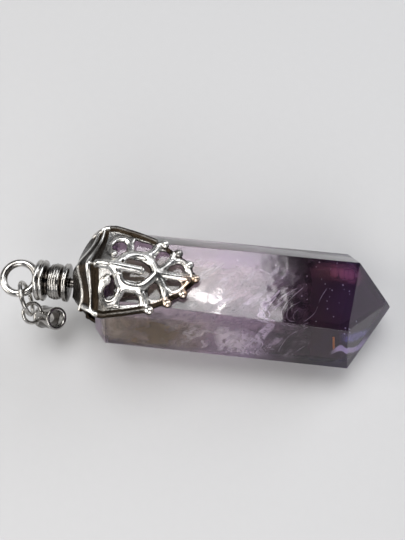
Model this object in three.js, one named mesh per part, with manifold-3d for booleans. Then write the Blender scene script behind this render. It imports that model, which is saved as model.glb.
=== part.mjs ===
// Amethyst point pendant, lying on a table as it does in use.
// A six-sided cut crystal point is glued into a folded filigree cap. A turned neck with a
// ring is pinned through the cap's bend, and a jump ring and a tube bail hang from the ring.
// Millimetres, +Z up. The pendant's axis runs along +X, from the ring to the crystal's point.

import * as THREE from 'three';
import { ConvexGeometry } from 'three/addons/geometries/ConvexGeometry.js';
import { mergeVertices } from 'three/addons/utils/BufferGeometryUtils.js';
import Module from 'manifold-3d';

const wasm = await Module();
wasm.setup();

// Driving dimensions, in the pendant's own frame: x = 0 at the crystal's flat end, z = 0 on its axis.
const GAP = 0.3;
const CRYSTAL = {
  width: 13.7,
  height: 10.1,
  bodyLength: 28.6,
  nearEdgeLead: 1.3,
  flare: 0.9,
  apex: new THREE.Vector3(33.7, 0.9, -0.4),
  endFacetTilt: 30,
  topFaceLead: 0.7,
  baseChamfer: 1.3,
};
const CAP = {
  thickness: 0.8,
  bend: -2.8,
  pinHole: 0.9,
  rimSpan: [-1.9, 6.2],
  rimWidth: 0.7,
  rimHeight: 0.35,
  ribs: [[-1.45, 0.25], [-0.35, 0.25], [0.35, 0.15]],
  ribHeight: 0.3,
  ribReach: 0.93,
  beadRadius: 0.52,
  edgeBeads: [6.8, 8.4, 9.8],
  tipBead: 10.8,
  skew: 0.1,
  backOpenings: 0.75,
  tolerance: 0.02,
};
const NECK = { pinRadius: 0.55, rivetRadius: 1.4, rivetLength: 0.5, rivetGap: 0.45, discRadius: 2.4 };
const RING = { centre: -9.3, meanRadius: 1.84, halfWidth: 0.44, halfDepth: 0.55 };
const JUMP_RING = { meanRadius: 1.89, wire: 0.25, hangAngle: -64.6, slack: 0.76 };
const TUBE = { outer: 1.38, bore: 0.95, length: 3.0, lip: 0.14, reach: 2.5 };
const LOOP = { meanRadius: 1.15, wire: 0.22 };
const PITCH = 4.46;

// How the loose pieces hang: the jump ring's lean from straight down and its turn about that
// line, the way from its lowest wire to the tube's middle, and the tube's own axis.
const JUMP_RING_LEAN = 51;
const JUMP_RING_TURN = 7.2;
const TUBE_WAY = new THREE.Vector3(0.657, 0.035, -0.753).normalize();
const TUBE_AXIS = new THREE.Vector3(0.746, -0.175, 0.642);

const AMETHYST = new THREE.MeshStandardMaterial({ color: 0x6a5478, roughness: 0.05, metalness: 0 });
const SILVER = new THREE.MeshStandardMaterial({ color: 0xb9b4a8, roughness: 0.25, metalness: 1 });

const degrees = THREE.MathUtils.degToRad;

// Solids: a closed geometry as a manifold, and back again

function solid(geometry) {
  const bare = geometry.clone();
  bare.deleteAttribute('normal');
  bare.deleteAttribute('uv');
  const merged = mergeVertices(bare, 1e-4);
  const mesh = new wasm.Mesh({
    numProp: 3,
    vertProperties: new Float32Array(merged.attributes.position.array),
    triVerts: new Uint32Array(merged.index.array),
  });
  return new wasm.Manifold(mesh);
}

function geometryOf(manifold) {
  const mesh = manifold.getMesh();
  const geometry = new THREE.BufferGeometry();
  geometry.setAttribute('position', new THREE.BufferAttribute(mesh.vertProperties, 3));
  geometry.setIndex(new THREE.BufferAttribute(mesh.triVerts, 1));
  geometry.computeVertexNormals();
  return geometry;
}

function joined(geometries) {
  return geometries.map(solid).reduce((whole, piece) => whole.add(piece));
}

function named(name, geometry, material) {
  const mesh = new THREE.Mesh(geometry, material);
  mesh.name = name;
  return mesh;
}

// Crystal: one convex solid bounded by flat faces

function facePlane(y, z, distance, lean = 0) {
  const normal = new THREE.Vector3(-lean, y, z);
  const size = normal.length();
  return new THREE.Plane(normal.divideScalar(size), -distance / size);
}

function corner(a, b, c) {
  const rows = new THREE.Matrix3().set(
    a.normal.x, a.normal.y, a.normal.z,
    b.normal.x, b.normal.y, b.normal.z,
    c.normal.x, c.normal.y, c.normal.z,
  );
  if (Math.abs(rows.determinant()) < 1e-6) return null;
  return new THREE.Vector3(-a.constant, -b.constant, -c.constant).applyMatrix3(rows.invert());
}

function convexSolid(planes) {
  const corners = [];
  const kept = (point) => point
    && planes.every((plane) => plane.distanceToPoint(point) < 1e-5)
    && corners.every((other) => other.distanceTo(point) > 1e-3);
  planes.forEach((a, i) => planes.slice(i + 1).forEach((b, j) => {
    planes.slice(i + j + 2).forEach((c) => {
      const point = corner(a, b, c);
      if (kept(point)) corners.push(point);
    });
  }));
  return new ConvexGeometry(corners);
}

// The six long faces, counted from the top face round by the near side.
function prismFaces() {
  const flat = CRYSTAL.height / 2;
  const side = Math.cos(degrees(30)) * CRYSTAL.width / 2;
  const lean = CRYSTAL.flare / CRYSTAL.bodyLength;
  const [across, along] = [Math.cos(degrees(30)), Math.sin(degrees(30))];
  return [
    facePlane(0, 1, flat),
    facePlane(-across, along, side - CRYSTAL.flare, lean),
    facePlane(-across, -along, side),
    facePlane(0, -1, flat),
    facePlane(across, -along, side),
    facePlane(across, along, side),
  ];
}

// The point: six faces that rise from the shoulders to the apex, and a small facet at its end.
function pointFaces(prism) {
  const across = (x) => new THREE.Plane(new THREE.Vector3(1, 0, 0), -x);
  const shoulder = prism.map((face, k) => {
    const lead = k === 0 ? CRYSTAL.nearEdgeLead : 0;
    return corner(face, prism[(k + 1) % 6], across(CRYSTAL.bodyLength - lead));
  });
  const inside = new THREE.Vector3(CRYSTAL.bodyLength / 2, 0, 0);
  const faces = shoulder.map((point, k) => {
    const plane = new THREE.Plane();
    plane.setFromCoplanarPoints(point, shoulder[(k + 5) % 6], CRYSTAL.apex);
    return plane.distanceToPoint(inside) > 0 ? plane.negate() : plane;
  });
  const tilt = degrees(CRYSTAL.endFacetTilt);
  const end = new THREE.Vector3(Math.cos(tilt), 0, Math.sin(tilt));
  const top = new THREE.Plane().setFromCoplanarPoints(
    shoulder[0], shoulder[5], CRYSTAL.apex.clone().setX(CRYSTAL.apex.x + CRYSTAL.topFaceLead),
  );
  faces[0] = top.distanceToPoint(inside) > 0 ? top.negate() : top;
  faces.push(new THREE.Plane().setFromNormalAndCoplanarPoint(end, CRYSTAL.apex));
  return faces;
}

function baseFaces(prism) {
  const chamfers = prism.map((face) => {
    const normal = new THREE.Vector3(-1, 0, 0).add(face.normal).normalize();
    const rim = face.normal.clone().multiplyScalar(-face.constant).setX(CRYSTAL.baseChamfer);
    return new THREE.Plane().setFromNormalAndCoplanarPoint(normal, rim);
  });
  return [new THREE.Plane(new THREE.Vector3(-1, 0, 0), 0), ...chamfers];
}

function crystal() {
  const prism = prismFaces();
  return named('crystal', convexSolid([...prism, ...pointFaces(prism), ...baseFaces(prism)]), AMETHYST);
}

// Cap: one strip folded over the crystal's flat end, with a filigree leaf on each side.
// Each station gives x and z of the strip's ridge, how far its edges drop below the ridge,
// and its half-width.

const FRONT_STATIONS = [
  [-2.7, 2.4, 0.4, 2.6],
  [-2.0, 5.4, 1.4, 4.2],
  [-0.6, 7.4, 2.1, 5.0],
  [1.6, 7.9, 2.2, 5.2],
  [4.0, 7.25, 1.5, 4.8],
  [6.5, 6.4, 0.65, 4.0],
  [9.0, 5.95, 0.2, 2.5],
  [10.9, 5.8, 0.05, 0.5],
];
const BACK_STATIONS = [
  [-2.7, -2.4, 0.2, 2.2],
  [-2.0, -4.9, 0.4, 2.8],
  [-0.3, -6.05, 0.45, 3.4],
  [1.8, -6.2, 0.4, 3.9],
  [4.0, -6.1, 0.3, 3.8],
  [6.5, -5.95, 0.2, 3.2],
  [9.0, -5.85, 0.1, 2.1],
  [10.9, -5.8, 0.05, 0.4],
];

class FoldedStrip {
  constructor() {
    const stations = [...BACK_STATIONS].reverse().concat([[CAP.bend, 0, 0, 2.0]], FRONT_STATIONS);
    this.ridge = new THREE.CatmullRomCurve3(stations.map(([x, z]) => new THREE.Vector3(x, 0, z)));
    this.section = new THREE.CatmullRomCurve3(
      stations.map(([, , drop, half]) => new THREE.Vector3(drop, half, 0)),
    );
  }

  // A point at fraction u along the strip, v across it from -1 to 1, and t mm out of its middle.
  point(u, v, t) {
    const at = this.ridge.getUtoTmapping(u);
    const [drop, half] = this.section.getPoint(at).toArray();
    const along = this.ridge.getTangent(at);
    const out = new THREE.Vector3(-along.z, 0, along.x);
    const fall = drop * Math.sin((Math.PI / 2) * Math.abs(v));
    const point = this.ridge.getPoint(at).addScaledVector(out, t - fall);
    point.y = half * v;
    return point;
  }

  // Fraction along the strip at which its ridge reaches x, on the front or the back leaf.
  fractionAt(x, side) {
    let [low, high] = side > 0 ? [0.5, 1] : [0.5, 0];
    for (let step = 0; step < 30; step += 1) {
      const middle = (low + high) / 2;
      if (this.ridge.getPoint(this.ridge.getUtoTmapping(middle)).x < x) low = middle;
      else high = middle;
    }
    return (low + high) / 2;
  }

  halfWidthAt(u) {
    return this.section.getPoint(this.ridge.getUtoTmapping(u)).y;
  }

  // A box that spans u0..u1 along, v0..v1 across and t0..t1 out, bent to the strip.
  bar([u0, u1], [v0, v1], [t0, t1], steps) {
    const box = new THREE.BoxGeometry(1, 1, 1, steps[0], steps[1], 1);
    const spots = box.attributes.position;
    const point = new THREE.Vector3();
    for (let i = 0; i < spots.count; i += 1) {
      point.fromBufferAttribute(spots, i).addScalar(0.5);
      const bent = this.point(
        THREE.MathUtils.lerp(u0, u1, point.x),
        THREE.MathUtils.lerp(v0, v1, point.y),
        THREE.MathUtils.lerp(t0, t1, point.z),
      );
      spots.setXYZ(i, bent.x, bent.y, bent.z);
    }
    return box;
  }
}

// Filigree openings of one half of a leaf, in plan: x along the pendant, y out from the ridge.
function leafOpenings() {
  const scroll = new THREE.Shape();
  scroll.absellipse(2.55, 2.35, 0.95, 1.1, 0, Math.PI * 2);
  const window = new THREE.Shape(
    [[4.0, 2.35], [5.3, 2.3], [6.05, 3.0], [5.5, 3.5], [3.8, 3.8]].map(([x, y]) => new THREE.Vector2(x, y)),
  );
  const triangle = new THREE.Shape(
    [[6.4, 1.15], [7.1, 1.2], [7.6, 2.1], [6.6, 2.65]].map(([x, y]) => new THREE.Vector2(x, y)),
  );
  const petal = new THREE.Shape();
  petal.absellipse(8.55, 1.0, 0.75, 0.45, 0, Math.PI * 2);
  return [scroll, window, triangle, petal];
}

// The middle opening: a pointed arch round the free end of a bar that lies on the ridge.
function middleOpening() {
  const arch = new THREE.Shape();
  arch.moveTo(3.3, 1.2);
  arch.lineTo(5.1, 1.2);
  arch.quadraticCurveTo(6.0, 0.9, 6.3, 0);
  arch.quadraticCurveTo(6.0, -0.9, 5.1, -1.2);
  arch.lineTo(3.3, -1.2);
  arch.lineTo(3.3, -0.42);
  arch.lineTo(5.05, -0.42);
  arch.lineTo(5.05, 0.42);
  arch.lineTo(3.3, 0.42);
  return arch;
}

// Prisms that cut the openings of one leaf, starting between the crystal's axis and the leaf.
function openingCutter(side) {
  const [start, depth] = [2.5, 8];
  const prisms = [];
  const widths = side > 0 ? 1 : CAP.backOpenings;
  const add = (shape, mirror) => {
    const prism = new THREE.ExtrudeGeometry(shape, { depth, bevelEnabled: false, curveSegments: 4 });
    const skewed = new THREE.Matrix4().set(
      1, CAP.skew, 0, 0,
      0, widths, 0, 0,
      0, 0, 1, side > 0 ? start : -start - depth,
      0, 0, 0, 1,
    );
    const flip = new THREE.Matrix4().makeScale(1, mirror, 1);
    prism.applyMatrix4(skewed.multiply(flip));
    if (mirror < 0) turnInsideOut(prism);
    prisms.push(prism);
  };
  leafOpenings().forEach((shape) => [1, -1].forEach((mirror) => add(shape, mirror)));
  add(middleOpening(), 1);
  return joined(prisms);
}

function turnInsideOut(geometry) {
  const spots = geometry.attributes.position;
  const [a, c] = [new THREE.Vector3(), new THREE.Vector3()];
  for (let i = 0; i < spots.count; i += 3) {
    a.fromBufferAttribute(spots, i);
    c.fromBufferAttribute(spots, i + 2);
    spots.setXYZ(i, c.x, c.y, c.z);
    spots.setXYZ(i + 2, a.x, a.y, a.z);
  }
}

// Raised cross ribs at a leaf's root.
function ribs(strip, side) {
  const base = CAP.thickness / 4;
  return CAP.ribs.map(([x, halfWidth]) => {
    const u = strip.fractionAt(x, side);
    const reach = halfWidth / strip.ridge.getLength();
    const span = [-CAP.ribReach, CAP.ribReach];
    return strip.bar([u - reach, u + reach], span, [base, CAP.thickness / 2 + CAP.ribHeight], [1, 8]);
  });
}

// Thick rims along both edges of a leaf.
function rims(strip, side) {
  const ends = CAP.rimSpan.map((x) => strip.fractionAt(x, side)).sort((a, b) => a - b);
  const inner = 1 - CAP.rimWidth / strip.halfWidthAt((ends[0] + ends[1]) / 2);
  const lip = 1.02;
  const rise = [-CAP.thickness / 4, CAP.thickness / 2 + CAP.rimHeight];
  return [[inner, lip], [-lip, -inner]].map((band) => strip.bar(ends, band, rise, [12, 1]));
}

// Beads round a leaf's end, and one on its tip.
function beads(strip, side) {
  const places = [[CAP.tipBead, 0], ...CAP.edgeBeads.flatMap((x) => [[x, 1], [x, -1]])];
  return places.map(([x, edge]) => {
    const skewed = x + CAP.skew * edge * strip.halfWidthAt(strip.fractionAt(x, side));
    const spot = strip.point(strip.fractionAt(Math.min(skewed, CAP.tipBead), side), edge * 0.97, 0.12);
    return new THREE.IcosahedronGeometry(CAP.beadRadius, 1).translate(spot.x, spot.y, spot.z);
  });
}

function cap() {
  const strip = new FoldedStrip();
  const half = CAP.thickness / 2;
  let body = solid(strip.bar([0, 1], [-1, 1], [-half, half], [42, 8]));
  [1, -1].forEach((side) => {
    body = body.subtract(openingCutter(side));
  });
  [1, -1].forEach((side) => {
    body = body.add(joined([...ribs(strip, side), ...rims(strip, side), ...beads(strip, side)]));
  });
  const hole = new THREE.CylinderGeometry(CAP.pinHole, CAP.pinHole, 4, 20).rotateZ(Math.PI / 2);
  body = body.subtract(solid(hole.translate(CAP.bend, 0, 0)));
  return named('cap', geometryOf(body.simplify(CAP.tolerance)), SILVER);
}

// Neck and ring: a turned neck whose pin passes through the cap's bend to a rivet head

function turned(profile) {
  const lathe = new THREE.LatheGeometry(profile.map(([r, x]) => new THREE.Vector2(r, x)), 28);
  return lathe.rotateZ(-Math.PI / 2);
}

function neckRing() {
  const face = CAP.bend - CAP.thickness / 2 - GAP;
  const { pinRadius, rivetRadius, rivetLength, rivetGap, discRadius } = NECK;
  const inside = CAP.bend + CAP.thickness / 2 + rivetGap;
  const neck = turned([
    [0, -7.3], [1.9, -7.3], [discRadius, -7.1], [discRadius, -6.75], [2.05, -6.65], [discRadius, -6.5],
    [discRadius, -6.2], [1.6, -6.0], [1.6, -5.75], [2.0, -5.6], [2.15, -4.9], [1.95, -4.35],
    [1.7, -4.25], [1.7, -4.15], [2.25, -4.05], [2.25, face], [pinRadius, face],
    [pinRadius, inside], [rivetRadius, inside], [rivetRadius * 0.8, inside + rivetLength],
    [0, inside + rivetLength],
  ]);
  const ring = new THREE.TorusGeometry(RING.meanRadius, RING.halfWidth, 10, 32);
  ring.scale(1, 1, RING.halfDepth / RING.halfWidth).translate(RING.centre, 0, 0);
  return named('neck_ring', geometryOf(joined([neck, ring])), SILVER);
}

// Hanging pieces: a jump ring round the near side of the ring, and the tube bail on it

function frameOf(x, y, z) {
  return new THREE.Quaternion().setFromRotationMatrix(new THREE.Matrix4().makeBasis(x, y, z));
}

// The hook is the middle of the ring's wire where the jump ring hangs, and the hold is the
// middle of the jump ring's wire where the tube's loop hangs.
function hangingPoints() {
  const angle = degrees(JUMP_RING.hangAngle);
  const out = new THREE.Vector3(Math.cos(angle), Math.sin(angle), 0);
  const hook = new THREE.Vector3(RING.centre, 0, 0).addScaledVector(out, RING.meanRadius);
  const tangent = new THREE.Vector3(-out.y, out.x, 0);
  const lean = degrees(JUMP_RING_LEAN);
  const down = out.multiplyScalar(Math.sin(lean)).setZ(-Math.cos(lean));
  const hold = hook.clone().addScaledVector(down, JUMP_RING.slack + JUMP_RING.meanRadius);
  return { hook, tangent, down, hold };
}

function jumpRing({ hook, tangent, down }) {
  const torus = new THREE.TorusGeometry(JUMP_RING.meanRadius, JUMP_RING.wire, 8, 28);
  const mesh = named('jump_ring', torus, SILVER);
  mesh.position.copy(hook).addScaledVector(down, JUMP_RING.slack);
  const normal = tangent.clone().applyAxisAngle(down, degrees(JUMP_RING_TURN));
  mesh.quaternion.copy(frameOf(down, new THREE.Vector3().crossVectors(normal, down), normal));
  return mesh;
}

function tubeBail({ hold }) {
  const { outer, bore, length, lip, reach } = TUBE;
  const end = length / 2;
  const profile = [
    [bore, -end + lip], [bore + lip, -end], [outer - lip, -end], [outer, -end + lip],
    [outer, end - lip], [outer - lip, end], [bore + lip, end], [bore, end - lip], [bore, -end + lip],
  ];
  const tube = new THREE.LatheGeometry(profile.map(([r, y]) => new THREE.Vector2(r, y)), 28);
  tube.rotateX(Math.PI / 2).translate(reach, 0, 0);
  const inside = (bore + outer) / 2;
  const core = new THREE.CylinderGeometry(inside, inside, length, 24);
  core.rotateX(Math.PI / 2).translate(reach, 0, 0);
  const loop = solid(new THREE.TorusGeometry(LOOP.meanRadius, LOOP.wire, 8, 22)).subtract(solid(core));
  const mesh = named('tube_bail', geometryOf(loop.add(solid(tube))), SILVER);
  const axis = TUBE_AXIS.clone().addScaledVector(TUBE_WAY, -TUBE_AXIS.dot(TUBE_WAY)).normalize();
  mesh.position.copy(hold);
  mesh.quaternion.copy(frameOf(TUBE_WAY, new THREE.Vector3().crossVectors(axis, TUBE_WAY), axis));
  return mesh;
}

// The whole pendant, tipped so that it rests on the cap's back leaf and the crystal's shoulder

function pendant() {
  const points = hangingPoints();
  const tipped = new THREE.Group();
  tipped.add(crystal(), cap(), neckRing(), jumpRing(points), tubeBail(points));
  tipped.rotation.y = degrees(PITCH);
  const group = new THREE.Group();
  group.add(tipped);
  group.updateMatrixWorld(true);
  const box = new THREE.Box3().setFromObject(group, true);
  const middle = box.getCenter(new THREE.Vector3());
  tipped.position.set(-middle.x, -middle.y, -box.min.z);
  return group;
}

export default pendant();
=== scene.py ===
"""Amethyst point pendant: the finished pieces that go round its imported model.

The pieces are modelled in the pendant's own frame, in millimetres: x = 0 at the crystal's flat
end, z = 0 on its axis, the point towards +X. place() then tips and moves them to where the
pendant lies, in metres.
"""

import math

import bpy
import numpy as np
from mathutils import Matrix, Vector, noise


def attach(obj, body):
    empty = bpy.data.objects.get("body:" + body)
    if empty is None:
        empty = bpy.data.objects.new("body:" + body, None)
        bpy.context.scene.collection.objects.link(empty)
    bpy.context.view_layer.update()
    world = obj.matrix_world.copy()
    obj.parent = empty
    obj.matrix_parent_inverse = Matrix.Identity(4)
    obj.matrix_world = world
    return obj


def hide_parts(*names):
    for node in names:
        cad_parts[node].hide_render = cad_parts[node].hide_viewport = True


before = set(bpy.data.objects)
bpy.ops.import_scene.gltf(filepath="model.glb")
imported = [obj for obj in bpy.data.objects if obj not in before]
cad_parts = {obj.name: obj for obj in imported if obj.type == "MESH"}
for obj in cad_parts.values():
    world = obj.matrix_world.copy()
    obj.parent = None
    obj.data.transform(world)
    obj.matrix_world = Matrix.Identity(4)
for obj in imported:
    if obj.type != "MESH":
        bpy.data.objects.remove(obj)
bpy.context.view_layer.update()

bl_info = {
    "name": "Amethyst Point Pendant",
    "version": (1, 0, 0),
    "blender": (4, 5, 0),
    "location": "View3D > Sidebar > Pendant",
    "description": "Crystal, filigree cap and hanging pieces of an amethyst pendant",
    "category": "Object",
}

MM = 0.001
LYING = (
    Matrix.Translation(Vector((-11.010957, 0.0, 7.263127)) * MM)
    @ Matrix.Rotation(math.radians(4.46), 4, "Y")
    @ Matrix.Scale(MM, 4)
)


# Sizes and colours that a user would change


class PendantSizes(bpy.types.PropertyGroup):
    """Sizes of the finished pieces, in millimetres."""

    edge_round: bpy.props.FloatProperty(
        name="Edge round", description="Width of the crystal's polished edges, mm", default=0.38)
    plate: bpy.props.FloatProperty(
        name="Cap plate", description="Thickness of the cap's openwork, mm", default=0.4)
    scroll: bpy.props.FloatProperty(
        name="Scroll", description="Radius of the cap's scrolls, mm", default=0.4)
    bead: bpy.props.FloatProperty(
        name="Bead", description="Radius of the cap's beads, mm", default=0.5)
    cast_grain: bpy.props.FloatProperty(
        name="Cast grain", description="Voxel size that fuses the castings, mm", default=0.1)
    wire: bpy.props.FloatProperty(
        name="Jump ring wire", description="Radius of the jump ring's wire, mm", default=0.25)
    tube: bpy.props.FloatProperty(
        name="Tube bail", description="Outer radius of the tube bail, mm", default=1.38)


class PendantColours(bpy.types.PropertyGroup):
    """Colours of the crystal and the metal."""

    milky: bpy.props.FloatVectorProperty(
        name="Milky end", description="Tint of the crystal near the cap", subtype="COLOR",
        default=(0.83, 0.76, 0.68))
    middle: bpy.props.FloatVectorProperty(
        name="Middle", description="Tint of the crystal's middle", subtype="COLOR",
        default=(0.65, 0.54, 0.62))
    smoky: bpy.props.FloatVectorProperty(
        name="Smoky zone", description="Tint of the dark zone before the point", subtype="COLOR",
        default=(0.40, 0.31, 0.35))
    violet: bpy.props.FloatVectorProperty(
        name="Violet tip", description="Tint of the crystal's point", subtype="COLOR",
        default=(0.46, 0.37, 0.66))
    inside: bpy.props.FloatVectorProperty(
        name="Depth", description="Colour that deep crystal takes", subtype="COLOR",
        default=(0.62, 0.48, 0.72))
    milk: bpy.props.FloatVectorProperty(
        name="Milk", description="Colour of the milky clouds", subtype="COLOR",
        default=(0.84, 0.74, 0.78))
    veil: bpy.props.FloatVectorProperty(
        name="Veil", description="Colour of the bright veil and cracks", subtype="COLOR",
        default=(0.92, 0.90, 1.0))
    rust: bpy.props.FloatVectorProperty(
        name="Rust", description="Colour of the brown clouds", subtype="COLOR",
        default=(0.21, 0.145, 0.07))
    smoke: bpy.props.FloatVectorProperty(
        name="Smoke", description="Colour of the dark zoning", subtype="COLOR",
        default=(0.10, 0.06, 0.085))
    silver: bpy.props.FloatVectorProperty(
        name="Silver", description="Polished metal", subtype="COLOR",
        default=(0.90, 0.88, 0.84))
    # Patina, also used as the painted shade and dark reflection on the cap's lower parts
    patina_and_shade: bpy.props.FloatVectorProperty(
        name="Patina", description="Dark tarnish in the metal's recesses", subtype="COLOR",
        default=(0.024, 0.017, 0.011))
    # Painted warm reflection: the copper colour laid on the front leaf's tip and near its beads
    copper_reflection: bpy.props.FloatVectorProperty(
        name="Copper", description="Base metal where the silver plate is worn", subtype="COLOR",
        default=(0.74, 0.40, 0.20))
    floor: bpy.props.FloatVectorProperty(
        name="Floor", description="Plain pale floor", subtype="COLOR",
        default=(0.51, 0.51, 0.515))


def sizes():
    return bpy.context.scene.pendant_sizes


def colours():
    return bpy.context.scene.pendant_colours


# Working by hand: select, edit, modify, join


def take(*objects):
    """Selects these objects alone, the first of them active."""
    if bpy.context.object and bpy.context.object.mode != "OBJECT":
        bpy.ops.object.mode_set(mode="OBJECT")
    bpy.ops.object.select_all(action="DESELECT")
    for obj in objects:
        obj.select_set(True)
    bpy.context.view_layer.objects.active = objects[0] if objects else None


def modify(obj, kind, **settings):
    modifier = obj.modifiers.new(kind.title(), kind)
    for name, value in settings.items():
        setattr(modifier, name, value)
    take(obj)
    bpy.ops.object.modifier_apply(modifier=modifier.name)


def join(objects):
    take(*objects)
    if len(objects) > 1:
        bpy.ops.object.join()
    return bpy.context.object


def tidy_faces(obj):
    """Merges doubles, in mm, and turns every face outwards."""
    take(obj)
    bpy.ops.object.mode_set(mode="EDIT")
    bpy.ops.mesh.select_all(action="SELECT")
    bpy.ops.mesh.remove_doubles(threshold=0.0005)
    bpy.ops.mesh.normals_make_consistent(inside=False)
    bpy.ops.object.mode_set(mode="OBJECT")


def apply_place(obj, matrix=None):
    obj.data.transform((matrix or Matrix.Identity(4)) @ obj.matrix_world)
    obj.matrix_world = Matrix.Identity(4)
    obj.data.update()


def coordinates(obj):
    flat = np.empty(len(obj.data.vertices) * 3)
    obj.data.vertices.foreach_get("co", flat)
    return flat.reshape(-1, 3)


def set_coordinates(obj, points):
    obj.data.vertices.foreach_set("co", points.ravel())
    obj.data.update()


def fuse(obj, grain, smoothing):
    """Makes one cast skin of all the closed shells in obj."""
    modify(obj, "REMESH", mode="VOXEL", voxel_size=grain, use_smooth_shade=True)
    modify(obj, "SMOOTH", factor=0.5, iterations=smoothing)


def store(obj, name, amount):
    """Stores one amount, or one for each point, under a name that the material reads."""
    layer = obj.data.attributes.new(name, "FLOAT", "POINT")
    values = np.broadcast_to(amount, len(obj.data.vertices))
    layer.data.foreach_set("value", values.astype(np.float32))


def place(obj, name, body, material, replaced=()):
    """Names a finished piece, lays it in the row frame and lets it ride on its body."""
    apply_place(obj, LYING)
    obj.name = obj.data.name = name
    obj.data.materials.clear()
    obj.data.materials.append(material)
    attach(obj, body)
    if replaced:
        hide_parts(*replaced)
    return obj


def smooth_line(points, per_span=5, closed=False):
    """A smooth line through points, with per_span steps from each to the next."""
    spots = [Vector(p) for p in points]
    count = len(spots)
    line = []
    spans = count if closed else count - 1
    for k in range(spans):
        if closed:
            a, b, c, d = (spots[(k + j) % count] for j in (-1, 0, 1, 2))
        else:
            b, c = spots[k], spots[k + 1]
            a = spots[k - 1] if k else b * 2 - c
            d = spots[k + 2] if k + 2 < count else c * 2 - b
        for step in range(per_span):
            t = step / per_span
            line.append(0.5 * (2 * b + (c - a) * t + (2 * a - 5 * b + 4 * c - d) * t * t
                               + (3 * b - 3 * c + d - a) * t ** 3))
    if not closed:
        line.append(spots[-1])
    return line


def wire(points, radius, sides=4):
    """A round wire along points, drawn out of one vertex and closed at both ends."""
    take()
    bpy.ops.mesh.primitive_plane_add(size=0.1, location=points[0])
    bpy.ops.object.mode_set(mode="EDIT")
    bpy.ops.mesh.merge(type="CENTER")
    for start, end in zip(points, points[1:]):
        step = Vector(end) - Vector(start)
        bpy.ops.mesh.extrude_region_move(TRANSFORM_OT_translate={"value": step})
    bpy.ops.object.mode_set(mode="OBJECT")
    bpy.ops.object.convert(target="CURVE")
    obj = bpy.context.object
    obj.data.bevel_depth = radius
    obj.data.bevel_resolution = sides
    obj.data.use_fill_caps = True
    bpy.ops.object.convert(target="MESH")
    apply_place(obj)
    tidy_faces(obj)
    return obj


def turned(stations, segments=64, hollow=False):
    """A solid turned about the X axis through (x, radius) stations, or a ring if hollow."""
    take()
    x, radius = stations[0]
    bpy.ops.mesh.primitive_circle_add(
        vertices=segments, radius=radius, fill_type="NOTHING" if hollow else "NGON",
        location=(x, 0, 0), rotation=(0, math.pi / 2, 0))
    bpy.ops.object.transform_apply(location=True, rotation=True, scale=True)
    bpy.ops.object.mode_set(mode="EDIT")
    bpy.ops.mesh.select_all(action="SELECT")
    for new_x, new_radius in stations[1:]:
        bpy.ops.mesh.extrude_region_move(TRANSFORM_OT_translate={"value": (new_x - x, 0, 0)})
        ratio = new_radius / radius
        bpy.ops.transform.resize(value=(1, ratio, ratio), center_override=(new_x, 0, 0))
        x, radius = new_x, new_radius
    bpy.ops.object.mode_set(mode="OBJECT")
    obj = bpy.context.object
    tidy_faces(obj)
    return obj


def ball(centre, radius, stretch=(1, 1, 1), detail=4):
    take()
    bpy.ops.mesh.primitive_ico_sphere_add(subdivisions=detail, radius=radius, location=centre)
    obj = bpy.context.object
    obj.scale = stretch
    apply_place(obj)
    return obj


# Materials


class Nodes:
    """A material's node tree, with short calls to add and link nodes."""

    def __init__(self, name):
        self.material = bpy.data.materials.new(name)
        self.material.use_nodes = True
        self.tree = self.material.node_tree
        self.shader = self.tree.nodes["Principled BSDF"]
        self.output = self.tree.nodes["Material Output"]
        self.coordinates = self.add("ShaderNodeTexCoord").outputs["Object"]

    def add(self, kind, inputs=None, **settings):
        node = self.tree.nodes.new(kind)
        for name, value in settings.items():
            setattr(node, name, value)
        for name, value in (inputs or {}).items():
            if isinstance(value, bpy.types.NodeSocket):
                self.tree.links.new(value, node.inputs[name])
            else:
                node.inputs[name].default_value = value
        return node

    def link(self, source, name):
        self.tree.links.new(source, self.shader.inputs[name])

    def set(self, **values):
        for name, value in values.items():
            self.shader.inputs[name.replace("_", " ")].default_value = value

    def mapped(self, scale, turn=(0, 0, 0), source=None):
        """Coordinates, turned and scaled."""
        return self.add("ShaderNodeMapping", {
            "Vector": source or self.coordinates, "Rotation": turn, "Scale": scale,
        }, vector_type="TEXTURE").outputs["Vector"]

    def noise(self, scale, detail=4.0, roughness=0.55, source=None, distortion=0.0):
        return self.add("ShaderNodeTexNoise", {
            "Vector": source or self.coordinates, "Scale": scale, "Detail": detail,
            "Roughness": roughness, "Distortion": distortion,
        }).outputs["Fac"]

    def math(self, operation, a, b=0.0, clamp=False):
        node = self.add("ShaderNodeMath", operation=operation, use_clamp=clamp)
        for socket, value in zip(node.inputs, (a, b)):
            if isinstance(value, bpy.types.NodeSocket):
                self.tree.links.new(value, socket)
            else:
                socket.default_value = value
        return node.outputs[0]

    def ramp(self, factor, stops):
        """A ramp of colours, with stops as (position, colour) pairs."""
        node = self.add("ShaderNodeValToRGB", {"Fac": factor})
        ramp = node.color_ramp
        while len(ramp.elements) < len(stops):
            ramp.elements.new(1.0)
        for element, (position, colour) in zip(ramp.elements, stops):
            element.position = position
            element.color = (*colour, 1.0)
        return node.outputs["Color"]

    def range(self, value, low, high, new_low=0.0, new_high=1.0):
        return self.add("ShaderNodeMapRange", {
            "Value": value, "From Min": low, "From Max": high,
            "To Min": new_low, "To Max": new_high,
        }, clamp=True).outputs["Result"]

    def mix(self, factor, a, b):
        """Colour a where factor is 0, and colour b where it is 1."""
        node = self.add("ShaderNodeMix", data_type="RGBA")
        self.tree.links.new(factor, node.inputs[0])
        for socket, value in zip((node.inputs[6], node.inputs[7]), (a, b)):
            if isinstance(value, bpy.types.NodeSocket):
                self.tree.links.new(value, socket)
            else:
                socket.default_value = (*value, 1.0)
        return node.outputs[2]

    def bump(self, height, strength, distance):
        self.link(self.add("ShaderNodeBump", {
            "Height": height, "Strength": strength, "Distance": distance,
        }).outputs["Normal"], "Normal")


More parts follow.
